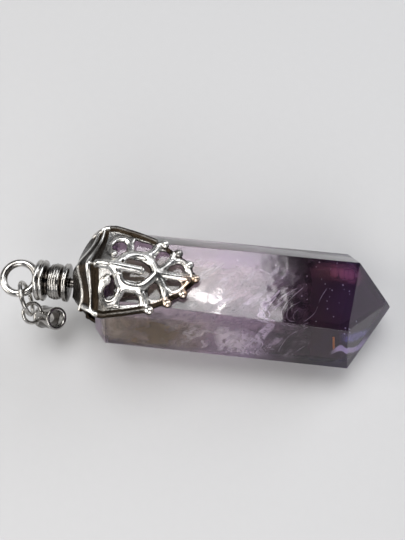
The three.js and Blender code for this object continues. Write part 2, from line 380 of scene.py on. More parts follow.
QUARTZ_IOR = 1.544
ABSORPTION = 90.0  # per metre
CRYSTAL_ALONG = (-0.011, 0.0226)  # x of the crystal's two ends, in metres


def amethyst_material():
    """Clear quartz, milky near the cap, smoky further on and violet at the point."""
    tint = colours()
    m = Nodes("amethyst")
    spot = m.add("ShaderNodeSeparateXYZ", {"Vector": m.coordinates}).outputs
    cloudy = m.noise(190, 3.0)
    shifted = m.math("ADD", spot["X"], m.range(cloudy, 0.3, 0.7, -0.003, 0.003))
    zone = m.range(shifted, *CRYSTAL_ALONG)
    colour = m.ramp(zone, [
        (0.0, tint.milky), (0.34, tint.milky), (0.54, tint.middle), (0.68, tint.smoky),
        (0.84, tint.violet), (1.0, tint.violet),
    ])
    m.link(colour, "Base Color")
    smudge = m.noise(420, 5.0, 0.65)
    underneath = m.range(spot["Z"], 0.0072, 0.0055, 0.0, 0.28)
    m.link(m.math("ADD", m.range(smudge, 0.4, 0.7, 0.05, 0.13), underneath), "Roughness")
    m.bump(m.noise(170, 3.0), 0.22, 0.0004)
    m.set(IOR=QUARTZ_IOR, Transmission_Weight=1.0)
    absorb = m.add("ShaderNodeVolumeAbsorption")
    absorb.inputs["Color"].default_value = (*tint.inside, 1.0)
    absorb.inputs["Density"].default_value = ABSORPTION
    m.tree.links.new(absorb.outputs["Volume"], m.output.inputs["Volume"])
    return m.material


def silver_material():
    """Polished silver plate, with dark patina in its recesses, tarnish on the neck, ring and tube,
    painted shade and dark reflection on the cap's lower parts, and painted copper reflection.
    """
    tint = colours()
    m = Nodes("antique_silver")
    hollow = m.add("ShaderNodeNewGeometry").outputs["Pointiness"]
    low = m.range(hollow, 0.46, 0.5)
    grime = m.noise(900, 5.0, 0.6)
    clean_and_unshaded = m.math("ADD", low, m.range(grime, 0.35, 0.65, -0.35, 0.15), clamp=True)
    tarnish = m.range(m.noise(330, 3.0), 0.5, 0.62, 1.0, 0.35)
    clean_and_unshaded = m.math("MULTIPLY", clean_and_unshaded, tarnish)
    # Tarnish on the neck, ring and tube; on the cap, painted shade and dark reflection darken all
    # that lies below its polished tops
    tarnish_and_shade = m.add("ShaderNodeAttribute", attribute_name="tarnish_and_shade").outputs["Fac"]
    clean_and_unshaded = m.math("MULTIPLY", clean_and_unshaded, m.math("SUBTRACT", 1.0, tarnish_and_shade), clamp=True)
    # Painted copper reflection of warm light at the front leaf's tip and by its near beads
    copper_glint_share = m.add("ShaderNodeAttribute", attribute_name="wear_and_copper_glint").outputs["Fac"]
    metal = m.mix(m.math("MULTIPLY", copper_glint_share, m.range(grime, 0.3, 0.6, 1.0, 0.3)),
                  tint.silver, tint.copper_reflection)
    m.link(m.mix(clean_and_unshaded, tint.patina_and_shade, metal), "Base Color")
    scuffs = m.noise(1500, 6.0, 0.7, distortion=0.6)
    wear_and_copper_glint = m.range(scuffs, 0.35, 0.7, 0.16, 0.36)
    m.link(m.math("SUBTRACT", wear_and_copper_glint, m.math("MULTIPLY", tarnish_and_shade, 0.1)), "Roughness")
    m.set(Metallic=1.0)
    strip_place = m.add("ShaderNodeAttribute", attribute_name="strip_place").outputs["Vector"]
    brushed = m.noise(1.0, 3.0, source=m.mapped((0.055, 1.6, 4.0), source=strip_place))
    rough_cast = m.noise(700, 4.0)
    height = m.math("ADD", m.math("MULTIPLY", brushed, tarnish_and_shade), m.math("MULTIPLY", rough_cast, 0.5))
    m.bump(height, 0.35, 0.00025)
    return m.material


def film_material(name, colour, scale, low, high, strength, border, stretch=(1, 1, 1),
                  turn=(0, 0, 0)):
    """A film inside the crystal: seen where its noise is over low, and gone at its border."""
    m = Nodes(name)
    m.set(Base_Color=(*colour, 1.0), Roughness=0.5, IOR=1.3)
    place_on = m.add("ShaderNodeSeparateXYZ", {"Vector": m.add("ShaderNodeUVMap").outputs["UV"]})
    fade = 1.0
    for axis in ("X", "Y"):
        side = m.math("ABSOLUTE", m.math("SUBTRACT", place_on.outputs[axis], 0.5))
        fade = m.math("MULTIPLY", fade, m.range(side, 0.5 - border, 0.5, 1.0, 0.0))
    field = m.noise(scale, 6.0, 0.62, m.mapped(stretch, turn), 0.4)
    seen = m.math("MULTIPLY", m.range(field, low, high), fade)
    m.link(m.math("MULTIPLY", seen, strength, clamp=True), "Alpha")
    return m.material


def plain_material(name, colour, rough):
    m = Nodes(name)
    m.set(Base_Color=(*colour, 1.0), Roughness=rough)
    return m.material


CORE_FADE = (0.0078, 0.0128)  # x in metres where the dark zone sets in and is full
CORE_STRENGTH = 0.91


def core_material():
    """The dark smoky and violet zone that fills the crystal from its middle to its point."""
    m = Nodes("smoky_core")
    m.set(Base_Color=(*colours().smoke, 1.0), Roughness=0.6, IOR=1.1)
    along = m.add("ShaderNodeSeparateXYZ", {"Vector": m.coordinates}).outputs["X"]
    shifted = m.math("ADD", along, m.range(m.noise(230, 4.0), 0.3, 0.7, -0.002, 0.002))
    m.link(m.range(shifted, *CORE_FADE, 0.0, CORE_STRENGTH), "Alpha")
    return m.material


def broken_material(name, colour, scale, low, high):
    """Threads that show here and there."""
    m = Nodes(name)
    m.set(Base_Color=(*colour, 1.0), Roughness=0.3)
    m.link(m.range(m.noise(scale, 4.0), low, high), "Alpha")
    return m.material


# The cap's strip, as in the solid: (x, z) of its middle line, how far its sides drop, half width

FRONT = [
    (-2.7, 2.4, 0.4, 2.6), (-2.0, 5.4, 1.4, 4.2), (-0.6, 7.4, 2.1, 5.0), (1.6, 7.9, 2.2, 5.2),
    (4.0, 7.25, 1.5, 4.8), (6.5, 6.4, 0.65, 4.0), (9.0, 5.95, 0.2, 2.5), (10.9, 5.8, 0.05, 0.5),
]
BACK = [
    (-2.7, -2.4, 0.2, 2.2), (-2.0, -4.9, 0.4, 2.8), (-0.3, -6.05, 0.45, 3.4),
    (1.8, -6.2, 0.4, 3.9), (4.0, -6.1, 0.3, 3.8), (6.5, -5.95, 0.2, 3.2), (9.0, -5.85, 0.1, 2.1),
    (10.9, -5.8, 0.05, 0.4),
]
SKEW = 0.1  # how far the leaf's design leans towards the point, mm per mm across
BACK_WIDTH = 0.75  # the back leaf's design against the front one's
RIDGE_ROUND = 0.1  # share of the half width over which the fold on the middle line is soft


class Strip:
    """The folded strip. s counts mm along its middle line from the bend, over the front leaf."""

    def __init__(self):
        stations = BACK[::-1] + [(-2.8, 0.0, 0.0, 2.0)] + FRONT
        ridge = self._through([(x, z) for x, z, _, _ in stations])
        section = self._through([(drop, half) for _, _, drop, half in stations])
        step = np.hypot(*np.diff(ridge, axis=0).T)
        along = np.concatenate([[0.0], np.cumsum(step)])
        bend = along[(len(along) - 1) // 2]
        self.s = along - bend
        self.ridge = ridge
        self.section = section
        self.slope = np.gradient(ridge, self.s, axis=0)
        self.slope /= np.hypot(*self.slope.T)[:, None]

    @staticmethod
    def _through(points, per_span=60):
        p = np.array(points, float)
        p = np.vstack([2 * p[0] - p[1], p, 2 * p[-1] - p[-2]])
        line = []
        for k in range(1, len(p) - 2):
            p0, p1, p2, p3 = p[k - 1:k + 3]
            d0, d1, d2 = (max(np.sum((b - a) ** 2) ** 0.25, 1e-4)
                          for a, b in ((p0, p1), (p1, p2), (p2, p3)))
            m1 = ((p1 - p0) / d0 - (p2 - p0) / (d0 + d1) + (p2 - p1) / d1) * d1
            m2 = ((p2 - p1) / d1 - (p3 - p1) / (d1 + d2) + (p3 - p2) / d2) * d1
            t = np.linspace(0, 1, per_span, endpoint=False)[:, None]
            line.append(p1 + m1 * t + (-3 * p1 + 3 * p2 - 2 * m1 - m2) * t ** 2
                        + (2 * p1 - 2 * p2 + m1 + m2) * t ** 3)
        return np.vstack(line + [p[-2]])

    def s_at(self, x, side):
        """s where the middle line of the front (1) or back (-1) leaf reaches x."""
        leaf = self.s >= 0 if side > 0 else self.s <= 0
        order = np.argsort(self.ridge[leaf, 0])
        return float(np.interp(x, self.ridge[leaf, 0][order], self.s[leaf][order]))

    def half_width(self, s):
        return np.interp(s, self.s, self.section[:, 1])

    def bend(self, points):
        """Flat (s, y, height) points laid on the strip."""
        s, y, height = points.T
        inside = np.clip(s, self.s[0], self.s[-1])
        beyond = s - inside
        at = lambda table: np.interp(inside, self.s, table)
        x, z = at(self.ridge[:, 0]), at(self.ridge[:, 1])
        tx, tz = at(self.slope[:, 0]), at(self.slope[:, 1])
        drop, half = at(self.section[:, 0]), at(self.section[:, 1])
        across = np.hypot(np.clip(np.abs(y) / half, 0, 1), RIDGE_ROUND) - RIDGE_ROUND
        across /= math.hypot(1, RIDGE_ROUND) - RIDGE_ROUND
        out = height - drop * np.sin(math.pi / 2 * across)
        return np.stack([x - tz * out + tx * beyond, y, z + tx * out + tz * beyond], axis=1)


SCROLL = [(0.4, 0.08), (1.7, 0.1), (2.3, 0.35), (2.9, 0.95), (3.45, 1.6), (3.72, 2.3),
          (3.55, 3.1), (2.95, 3.62), (2.0, 3.45), (1.35, 2.75), (1.38, 2.05), (1.75, 1.6)]
BRANCHES = [
    ([(2.9, 0.85), (3.5, 1.6), (4.4, 1.85), (5.4, 1.7), (6.1, 1.0), (6.65, 0.0)], 1.3),
    ([(5.0, 1.9), (5.75, 2.3), (6.15, 3.0), (6.35, 3.6)], 1.05),
    ([(6.5, 0.1), (7.1, 0.65), (7.65, 1.35), (8.0, 2.1), (8.05, 2.8)], 1.1),
    ([(7.7, 1.45), (8.6, 1.85), (9.3, 1.6), (9.8, 1.0), (10.2, 0.3)], 1.0),
    ([(3.6, 2.6), (3.6, 3.2), (3.75, 3.9)], 0.9),
]
MIDDLE = [
    ([(-0.2, 0.0), (0.8, 0.0), (1.8, 0.0)], 0.6),
    ([(1.8, 0.0), (3.4, 0.0), (5.05, 0.0)], 1.3),
    ([(6.4, 0.0), (7.5, 0.0), (8.6, 0.0), (10.2, 0.0)], 1.25),
]
OPENINGS = [
    [(2.5, 0.9), (2.95, 1.1), (3.4, 1.65), (3.65, 2.3), (3.48, 3.05), (2.9, 3.5), (2.05, 3.35),
     (1.5, 2.75), (1.45, 2.1), (1.75, 1.6), (2.1, 1.2)],
    [(3.75, 3.75), (3.8, 3.1), (3.95, 2.45), (4.6, 2.3), (5.3, 2.3), (5.7, 2.65), (6.0, 3.2),
     (5.5, 3.45), (4.6, 3.6)],
    [(6.35, 1.15), (6.75, 0.95), (7.15, 1.2), (7.55, 1.8), (7.65, 2.45), (7.1, 2.75),
     (6.6, 2.7), (6.3, 2.0)],
    [(7.7, 0.7), (8.2, 0.42), (8.9, 0.42), (9.45, 0.75), (9.3, 1.25), (8.7, 1.5), (8.1, 1.25)],
]
MIDDLE_OPENING = [(3.4, 0.36), (5.15, 0.36), (5.35, 0.0), (5.15, -0.36), (3.4, -0.36),
                  (3.25, -0.7), (3.5, -1.05), (4.6, -1.2), (5.4, -0.95), (5.95, -0.5), (6.15, 0.0),
                  (5.95, 0.5), (5.4, 0.95), (4.6, 1.2), (3.5, 1.05), (3.25, 0.7)]
RIBS = [(-1.45, 0.32), (-0.9, 0.14), (-0.3, 0.34), (0.35, 0.17)]  # x and radius
RIB_REACH, RIB_BOW, RIB_SKEW = 0.93, 0.45, 0.0875
BEADS = [(6.8, True), (8.4, True), (9.8, True), (10.85, False)]  # x, and if there is a pair
BEAD_REACH, BEAD_HEIGHT, LAST_BEAD_X = 0.97, 0.12, 10.8
EYE_X, EYE_Y, EYE_RADIUS = 2.0, 1.55, 0.42  # the ball inside each scroll
RIM_FROM, RIM_TO, RIM_INSET = -1.95, 6.4, 0.3
RIM_RADIUS, RIM_STRETCH, RIM_HEIGHT = 0.34, 1.45, 0.1
PLATE_BOTTOM, PLATE_MARGIN = -0.3, 0.15
PIN_HOLE_RADIUS, PIN_HOLE_DEPTH, PIN_HOLE_X = 0.75, 3, -2.8

# Painted shade on the cap, in mm: heights under which it is painted darker as shade and dark
# reflection, tops left bright; and where painted copper reflection starts
ROOT_X, RIM_WIDTH = 0.85, 0.75
ROOT_START, RIM_START, LEAF_START, SHADE_RAMP = 0.16, 0.3, 0.0, 0.16
COPPER_TIP_X, COPPER_BEADS_X = 8.9, 6.2


def on_leaf(strip, side, x, y, height=0.0):
    """A point of the leaf's design as a flat (s, y, height) point."""
    width = 1.0 if side > 0 else BACK_WIDTH
    return Vector((strip.s_at(x + SKEW * y * width, side), y * width, height))


def leaf_plate(strip):
    """The strip laid flat: a plate with the leaves' outline."""
    take()
    long_steps, cross_steps = 220, 60
    bpy.ops.mesh.primitive_grid_add(x_subdivisions=long_steps, y_subdivisions=cross_steps, size=2)
    obj = bpy.context.object
    flat = coordinates(obj)
    s = strip.s[0] + (flat[:, 0] + 1) / 2 * (strip.s[-1] - strip.s[0])
    flat[:, 0] = s
    flat[:, 1] *= strip.half_width(s) - PLATE_MARGIN
    flat[:, 2] = PLATE_BOTTOM
    set_coordinates(obj, flat)
    take(obj)
    bpy.ops.object.mode_set(mode="EDIT")
    bpy.ops.mesh.select_all(action="SELECT")
    bpy.ops.mesh.extrude_region_move(TRANSFORM_OT_translate={"value": (0, 0, sizes().plate)})
    bpy.ops.object.mode_set(mode="OBJECT")
    tidy_faces(obj)
    return obj


def opening_cutter(strip, side, outline, mirror):
    """A prism through the plate with a smooth outline."""
    line = smooth_line([(x, y * mirror, 0) for x, y in outline], 4, closed=True)
    take()
    bpy.ops.mesh.primitive_circle_add(vertices=len(line), radius=1, fill_type="NGON")
    obj = bpy.context.object
    set_coordinates(obj, np.array([on_leaf(strip, side, p.x, p.y, -1.0) for p in line]))
    bpy.ops.object.mode_set(mode="EDIT")
    bpy.ops.mesh.select_all(action="SELECT")
    bpy.ops.mesh.extrude_region_move(TRANSFORM_OT_translate={"value": (0, 0, 2.0)})
    bpy.ops.object.mode_set(mode="OBJECT")
    tidy_faces(obj)
    return obj


def cut_openings(strip, plate):
    cutters = []
    for side in (1, -1):
        for outline in OPENINGS:
            cutters += [opening_cutter(strip, side, outline, mirror) for mirror in (1, -1)]
        cutters.append(opening_cutter(strip, side, MIDDLE_OPENING, 1))
    cutter = join(cutters)
    modify(plate, "BOOLEAN", object=cutter, operation="DIFFERENCE", solver="EXACT")
    bpy.data.objects.remove(cutter)


def leaf_relief(strip, side):
    """Scrolls, branches, ribs, rims and beads of one leaf, laid flat."""
    top = sizes().plate + PLATE_BOTTOM
    pieces = []

    def lay(line, radius, height, flat=1.0):
        piece = wire(line, radius)
        piece.scale.z = flat
        piece.location.z = height
        apply_place(piece)
        pieces.append(piece)

    def stroke(points, mirror, radius, flat):
        smooth = smooth_line([(x, y, 0) for x, y in points], 4)
        lay([on_leaf(strip, side, p.x, p.y * mirror) for p in smooth], radius, top, flat)

    scroll = sizes().scroll
    for mirror in (1, -1):
        stroke(SCROLL, mirror, scroll, flat=1.15)
        for points, width in BRANCHES:
            stroke(points, mirror, scroll * width, flat=1.2 / max(width, 1))
        eye = on_leaf(strip, side, EYE_X, EYE_Y * mirror, top + 0.1)
        pieces.append(ball(eye, EYE_RADIUS))
        line = []
        for x in np.linspace(RIM_FROM, RIM_TO, 22):
            s = strip.s_at(x, side)
            line.append(Vector((s, mirror * (strip.half_width(s) - RIM_INSET), 0)))
        lay(line, RIM_RADIUS, RIM_HEIGHT, RIM_STRETCH)
    for points, width in MIDDLE:
        stroke(points, 1, scroll * width, flat=1.25 / width)

    for x, radius in RIBS:
        line = []
        for share in np.linspace(-RIB_REACH, RIB_REACH, 19):
            s = strip.s_at(x, side)
            y = share * strip.half_width(s)
            bow = -RIB_BOW * share ** 2 + RIB_SKEW * y
            line.append(Vector((strip.s_at(x + bow, side), y, 0)))
        lay(line, radius, top + 0.05)

    for x, paired in BEADS:
        for sign in ((1, -1) if paired else (0,)):
            near = x + SKEW * sign * strip.half_width(strip.s_at(x, side))
            s = strip.s_at(min(near, LAST_BEAD_X), side)
            y = sign * BEAD_REACH * strip.half_width(s)
            pieces.append(ball((s, y, BEAD_HEIGHT), sizes().bead))
    return pieces


def store_shade_and_glint(obj, strip, flat):
    """Stores each point's flat place, its painted shade for lying low, and its painted copper
    reflection.
    """
    s, y, height = flat.T
    half = strip.half_width(s)
    root = (s < strip.s_at(ROOT_X, 1)) & (s > strip.s_at(ROOT_X, -1))
    rim = (np.abs(y) > half - RIM_WIDTH) & ~root
    start = np.where(root, ROOT_START, np.where(rim, RIM_START, LEAF_START))
    # Painted shade: the lower a point lies under its start height, the darker it is painted
    tarnish_and_shade = 1 - np.clip((height - start) / SHADE_RAMP, 0, 1)
    # Painted copper reflection at the front leaf's tip and by its near beads
    tip = np.clip((s - strip.s_at(COPPER_TIP_X, 1)) / 0.8, 0, 1) * np.clip(0.8 - y, 0, 1)
    near_beads = np.clip((s - strip.s_at(COPPER_BEADS_X, 1)) / 0.5, 0, 1)
    near_beads *= np.clip((1.0 - half - y) / 0.3, 0, 1)
    wear_and_copper_glint = np.maximum(tip, 0.7 * near_beads)
    layer = obj.data.attributes.new("strip_place", "FLOAT_VECTOR", "POINT")
    layer.data.foreach_set("vector", flat.astype(np.float32).ravel())
    store(obj, "tarnish_and_shade", tarnish_and_shade)
    store(obj, "wear_and_copper_glint", wear_and_copper_glint)


def filigree_cap():
    strip = Strip()
    plate = leaf_plate(strip)
    cut_openings(strip, plate)
    casting = join([plate] + leaf_relief(strip, 1) + leaf_relief(strip, -1))
    fuse(casting, sizes().cast_grain, 3)
    flat = coordinates(casting)
    store_shade_and_glint(casting, strip, flat)
    set_coordinates(casting, strip.bend(flat))
    take()
    bpy.ops.mesh.primitive_cylinder_add(
        radius=PIN_HOLE_RADIUS, depth=PIN_HOLE_DEPTH, location=(PIN_HOLE_X, 0, 0),
        rotation=(0, math.pi / 2, 0), vertices=48)
    hole = bpy.context.object
    apply_place(hole)
    modify(casting, "BOOLEAN", object=hole, operation="DIFFERENCE", solver="EXACT")
    bpy.data.objects.remove(hole)
    return casting


# Neck, ring and hanging pieces

NECK = [
    (-7.32, 1.5), (-7.3, 2.1), (-7.18, 2.32), (-7.0, 2.38), (-6.82, 2.3), (-6.72, 2.05),
    (-6.62, 2.3), (-6.45, 2.38), (-6.28, 2.3), (-6.2, 1.95), (-6.1, 1.62), (-5.85, 1.58),
    (-5.75, 1.8), (-5.62, 1.98), (-5.48, 1.9), (-5.38, 2.06), (-5.22, 1.96), (-5.12, 2.14),
    (-4.95, 2.0), (-4.84, 2.12), (-4.66, 1.96), (-4.56, 2.02), (-4.38, 1.84), (-4.28, 1.68),
    (-4.2, 1.72), (-4.12, 2.1), (-4.0, 2.24), (-3.85, 2.14), (-3.75, 2.24), (-3.6, 2.2),
    (-3.52, 1.6), (-3.5, 0.55), (-1.96, 0.55), (-1.95, 1.2), (-1.8, 1.38), (-1.6, 1.25),
    (-1.47, 0.7), (-1.46, 0.1),
]
RING_CENTRE, RING_RADIUS, RING_WIRE, RING_DEPTH = -9.3, 1.84, 0.44, 0.55
JUMP_RADIUS, JUMP_SLACK, JUMP_LEAN, JUMP_TURN, HANG_ANGLE = 1.89, 0.76, 51, 7.2, -64.6
TUBE_LENGTH, TUBE_REACH, TUBE_BORE = 3.0, 2.5, 0.95
LOOP_RADIUS, LOOP_WIRE = 1.15, 0.22
TUBE_WAY = Vector((0.657, 0.035, -0.753)).normalized()
TUBE_AXIS = Vector((0.746, -0.175, 0.642))
CUT_WIDTH, CUT_AT = 5, 118  # degrees round the jump ring
LOOP_OPEN = 11  # degrees to each side of the tube, inside its wall
NECK_GRAIN, TUBE_GRAIN = 0.065, 0.055
NECK_DULL, RING_DULL, TUBE_DULL, RECESS_DULL = 0.35, 0.3, 0.45, 0.5


def neck_and_ring():
    neck = turned(NECK)
    take()
    bpy.ops.mesh.primitive_torus_add(
        major_radius=RING_RADIUS, minor_radius=RING_WIRE, major_segments=96, minor_segments=28,
        location=(RING_CENTRE, 0, 0))
    ring = bpy.context.object
    ring.scale.z = RING_DEPTH / RING_WIRE
    apply_place(ring)
    casting = join([neck, ring])
    fuse(casting, NECK_GRAIN, 2)
    x, y, z = coordinates(casting).T
    groove = np.clip((2.15 - np.hypot(y, z)) / 0.3, 0, 1) * (x > -7.4)
    store(casting, "tarnish_and_shade", NECK_DULL + RECESS_DULL * groove)
    return casting


def axes(x, y, z, origin):
    matrix = Matrix((x, y, z)).transposed().to_4x4()
    matrix.translation = origin
    return matrix


def hanging_places():
    """Where the jump ring hangs in the ring, and where the tube's loop hangs in it."""
    angle, lean = math.radians(HANG_ANGLE), math.radians(JUMP_LEAN)
    out = Vector((math.cos(angle), math.sin(angle), 0))
    hook = Vector((RING_CENTRE, 0, 0)) + out * RING_RADIUS
    down = out * math.sin(lean) + Vector((0, 0, -math.cos(lean)))
    turn = Matrix.Rotation(math.radians(JUMP_TURN), 3, down)
    tangent = turn @ Vector((-out.y, out.x, 0))
    ring = axes(down, tangent.cross(down), tangent, hook + down * JUMP_SLACK)
    hold = hook + down * (JUMP_SLACK + JUMP_RADIUS)
    axis = (TUBE_AXIS - TUBE_WAY * TUBE_AXIS.dot(TUBE_WAY)).normalized()
    return ring, axes(TUBE_WAY, axis.cross(TUBE_WAY), axis, hold)


def cut_ring():
    """A wire ring, bent shut with a fine cut where its ends meet."""
    gap = math.radians(CUT_WIDTH)
    start = math.radians(CUT_AT)
    turn = np.linspace(start + gap / 2, start + 2 * math.pi - gap / 2, 73)
    points = [(JUMP_RADIUS * math.cos(a), JUMP_RADIUS * math.sin(a), 0) for a in turn]
    obj = wire(points, sizes().wire, sides=6)
    modify(obj, "BEVEL", width=0.05, segments=2, limit_method="ANGLE",
           angle_limit=math.radians(50))
    apply_place(obj, hanging_places()[0])
    store(obj, "tarnish_and_shade", RING_DULL)
    return obj


def tube_and_loop():
    outer, end = sizes().tube, TUBE_LENGTH / 2
    wall = [(-end + 0.1, TUBE_BORE), (-end, TUBE_BORE + 0.12), (-end, outer - 0.1),
            (-end + 0.08, outer - 0.01), (-end + 0.42, outer - 0.01), (-end + 0.5, outer - 0.1)]
    profile = wall + [(-x, r) for x, r in reversed(wall)] + [wall[0]]
    tube = turned(profile, 72, hollow=True)
    upright = Matrix.Rotation(-math.pi / 2, 4, "Y")
    apply_place(tube, Matrix.Translation((TUBE_REACH, 0, 0)) @ upright)
    open_half = math.radians(LOOP_OPEN)
    turn = np.linspace(open_half, 2 * math.pi - open_half, 60)
    points = [(LOOP_RADIUS * math.cos(a), LOOP_RADIUS * math.sin(a), 0) for a in turn]
    loop = wire(points, LOOP_WIRE, sides=6)
    casting = join([tube, loop])
    fuse(casting, TUBE_GRAIN, 2)
    x, _, z = coordinates(casting).T
    inside = np.clip((1.12 - np.hypot(x - TUBE_REACH, z)) / 0.1, 0, 1) * (x > 1.3)
    store(casting, "tarnish_and_shade", TUBE_DULL + RECESS_DULL * inside)
    apply_place(casting, hanging_places()[1])
    return casting


# Inside the crystal: films between two lines, threads and specks, in mm

WHITE = (0.95, 0.93, 1.0)
LAVENDER = (0.42, 0.42, 0.78)
ROSE = (0.58, 0.22, 0.28)
BEIGE = (0.66, 0.61, 0.52)
GLINT = (0.9, 0.38, 0.08)
FLAKE_WHITE = (0.9, 0.88, 0.95)
FILM_STEPS, FILM_CROSS_STEPS = 40, 10
CORE_START, CORE_SHARE, CORE_DEEPER = (18, 0, 0), (0.93, 0.78, 0.7), 1.25
LOW_FLAKES, TOP_FLAKES, FLAKE_SEED = 60, 34, 7
LONE_SPECKS = [
    (25.6, 3.2, 3.6), (26.3, 4.0, 3.4), (26.9, 1.4, 4.0), (24.3, 3.9, 3.6), (28.2, -2.2, 2.9),
    (27.3, -3.3, 3.4), (11.0, -3.4, 3.9), (22.9, 2.0, 4.1), (19.4, 2.9, 4.2), (15.2, 3.1, 4.0),
    (20.2, 1.4, 4.3),
]
GLINT_LINE = [(26.15, -4.05, 3.45), (26.4, -4.55, 2.6), (26.63, -5.05, 1.75)]
MILKY_FILMS = [
    ([(1.6, 2.6, 3.6), (6.7, 3.3, 3.6), (12.2, 3.3, 3.6), (16.6, 3.0, 3.6), (21.3, 2.5, 3.6)],
     [(1.8, -2.7, 3.6), (7.2, -2.5, 3.6), (12.6, -2.6, 3.6), (17.0, -3.0, 3.6),
      (21.1, -3.2, 3.6)]),
    ([(1.9, -3.2, 2.9), (6.3, -3.1, 2.9), (11.7, -3.1, 3.2), (16.6, -3.3, 3.0), (21.0, -3.6, 2.9)],
     [(2.5, -5.5, -1.3), (6.4, -5.6, -1.4), (12.1, -5.7, -1.1), (16.6, -5.8, -1.0),
      (21.2, -5.9, -0.9)]),
    ([(4.5, 3.6, 0.7), (11.1, 3.9, 0.7), (16.8, 3.9, 0.7), (22.5, 3.6, 0.7), (24.0, 3.4, 0.7)],
     [(5.0, -3.4, 0.6), (11.5, -3.6, 0.6), (17.1, -3.6, 0.6), (22.7, -3.4, 0.6),
      (24.0, -3.2, 0.6)]),
]
HAZE_FILMS = [
    ([(0.9, 2.9, 4.4), (4.0, 2.9, 4.4), (7.0, 2.6, 4.4), (10.6, 1.4, 4.4)],
     [(0.9, -2.9, 4.4), (4.0, -2.9, 4.4), (7.0, -2.6, 4.4), (10.6, -1.4, 4.4)]),
    ([(0.7, -3.1, 2.0), (3.5, -3.1, 2.1), (7.5, -3.1, 2.2)],
     [(0.9, -5.4, -1.4), (3.5, -5.4, -1.4), (7.5, -5.4, -1.4)]),
]
WISP_FILMS = [
    ([(8.5, 3.4, 4.3), (13.0, 3.4, 4.3), (18.0, 3.3, 4.3), (23.5, 3.1, 4.3)],
     [(9.5, -3.0, 4.3), (14.0, -3.1, 4.3), (18.0, -3.2, 4.3), (22.5, -3.3, 4.2)]),
    ([(7.0, -3.8, 3.0), (12.0, -3.8, 3.0), (18.0, -3.9, 2.9), (25.5, -4.0, 2.7)],
     [(7.5, -6.1, -0.8), (12.5, -6.1, -0.8), (18.0, -6.1, -0.7), (25.5, -6.1, -0.8)]),
]
VEIL_FILMS = [
    ([(19.8, 0.2, 4.2), (18.3, -0.6, 4.2), (17.7, -1.8, 4.2), (17.8, -3.0, 4.1),
      (18.4, -3.4, 3.6), (17.9, -4.0, 2.6), (16.8, -5.1, 0.8), (16.4, -5.9, -0.7)],
     [(20.5, 0.2, 4.2), (19.3, -1.1, 4.2), (18.9, -2.1, 4.2), (19.0, -3.0, 4.1),
      (20.0, -3.5, 3.7), (19.3, -4.2, 2.5), (19.0, -5.1, 0.9), (19.1, -5.9, -0.6)]),
    ([(12.8, -3.75, 3.0), (15.2, -3.75, 3.0), (17.8, -3.85, 2.9)],
     [(13.7, -5.95, -0.9), (15.7, -5.95, -0.9), (18.5, -5.95, -0.9)]),
    ([(10.2, -1.25, 4.7), (11.4, -0.85, 4.7), (12.7, -1.0, 4.7), (13.8, -1.4, 4.7)],
     [(10.5, -2.1, 4.7), (11.8, -2.4, 4.7), (13.0, -2.3, 4.7), (13.8, -1.8, 4.7)]),
]
WHITE_FILMS = [
    ([(26.1, -5.45, 1.55), (27.0, -4.75, 2.85), (27.8, -4.9, 2.5), (29.3, -4.2, 0.9),
      (31.3, -2.4, 0.0)],
     [(26.3, -5.75, 1.0), (27.3, -5.3, 1.9), (28.2, -5.35, 1.35), (29.7, -4.5, -0.2),
      (31.5, -2.5, -0.6)]),
]
LAVENDER_FILMS = [
    ([(26.5, -3.6, 4.4), (27.5, -3.6, 3.9), (29.4, -2.6, 1.9), (31.7, -1.1, -0.3)],
     [(27.1, -4.5, 3.1), (28.3, -4.3, 2.1), (30.0, -3.25, 0.5), (31.3, -1.8, -0.4)]),
]
ROSE_FILMS = [
    ([(23.0, 3.7, 4.4), (25.5, 3.9, 4.4), (28.0, 3.9, 4.35), (29.2, 3.4, 3.55)],
     [(23.0, 1.9, 4.4), (25.5, 1.5, 4.4), (28.1, 1.4, 4.1), (29.8, 2.1, 2.6)]),
]
RUST_FILMS = [
    ([(0.7, -3.7, 2.4), (4.1, -3.6, 2.7), (6.3, -3.6, 2.8), (9.0, -3.6, 3.0), (12.7, -3.7, 3.0)],
     [(0.9, -5.9, -1.4), (4.1, -6.0, -1.4), (7.0, -6.0, -1.2), (9.8, -5.9, -1.0),
      (13.1, -5.9, -0.9)]),
]
THREADS = [
    (0.05, [(22.4, 0.8, 4.2), (21.1, 0.0, 4.2), (19.95, -1.0, 4.2), (19.6, -2.3, 4.2),
            (19.95, -3.3, 4.1)]),
    (0.04, [(22.5, 0.65, 3.9), (21.4, -0.5, 3.9), (20.45, -1.8, 3.9), (20.3, -2.9, 3.9),
            (20.8, -3.2, 3.7)]),
    (0.035, [(22.3, -0.9, 3.7), (21.3, -1.6, 3.7), (20.9, -2.4, 3.7), (21.2, -3.1, 3.7),
             (22.1, -3.1, 3.7)]),
    (0.03, [(22.7, -1.4, 3.7), (21.9, -2.0, 3.7), (21.6, -2.7, 3.7), (22.15, -3.1, 3.7),
            (23.0, -2.9, 3.7)]),
    (0.04, [(17.75, 2.4, 3.6), (19.45, 1.7, 3.6), (21.1, 1.0, 3.6)]),
    (0.04, [(20.6, -6.0, -0.6), (20.9, -5.0, 1.0), (21.6, -4.0, 2.8), (23.2, -3.2, 3.9)]),
    (0.045, [(21.7, -6.1, -0.8), (22.7, -5.3, 0.7), (23.9, -4.5, 2.2)]),
    (0.03, [(25.7, 1.8, 3.9), (24.5, -0.3, 3.9), (23.9, -2.0, 3.9), (22.6, -3.3, 3.8)]),
    (0.07, [(16.0, -0.75, 4.4), (16.45, -0.4, 4.4), (16.95, -0.05, 4.4)]),
]
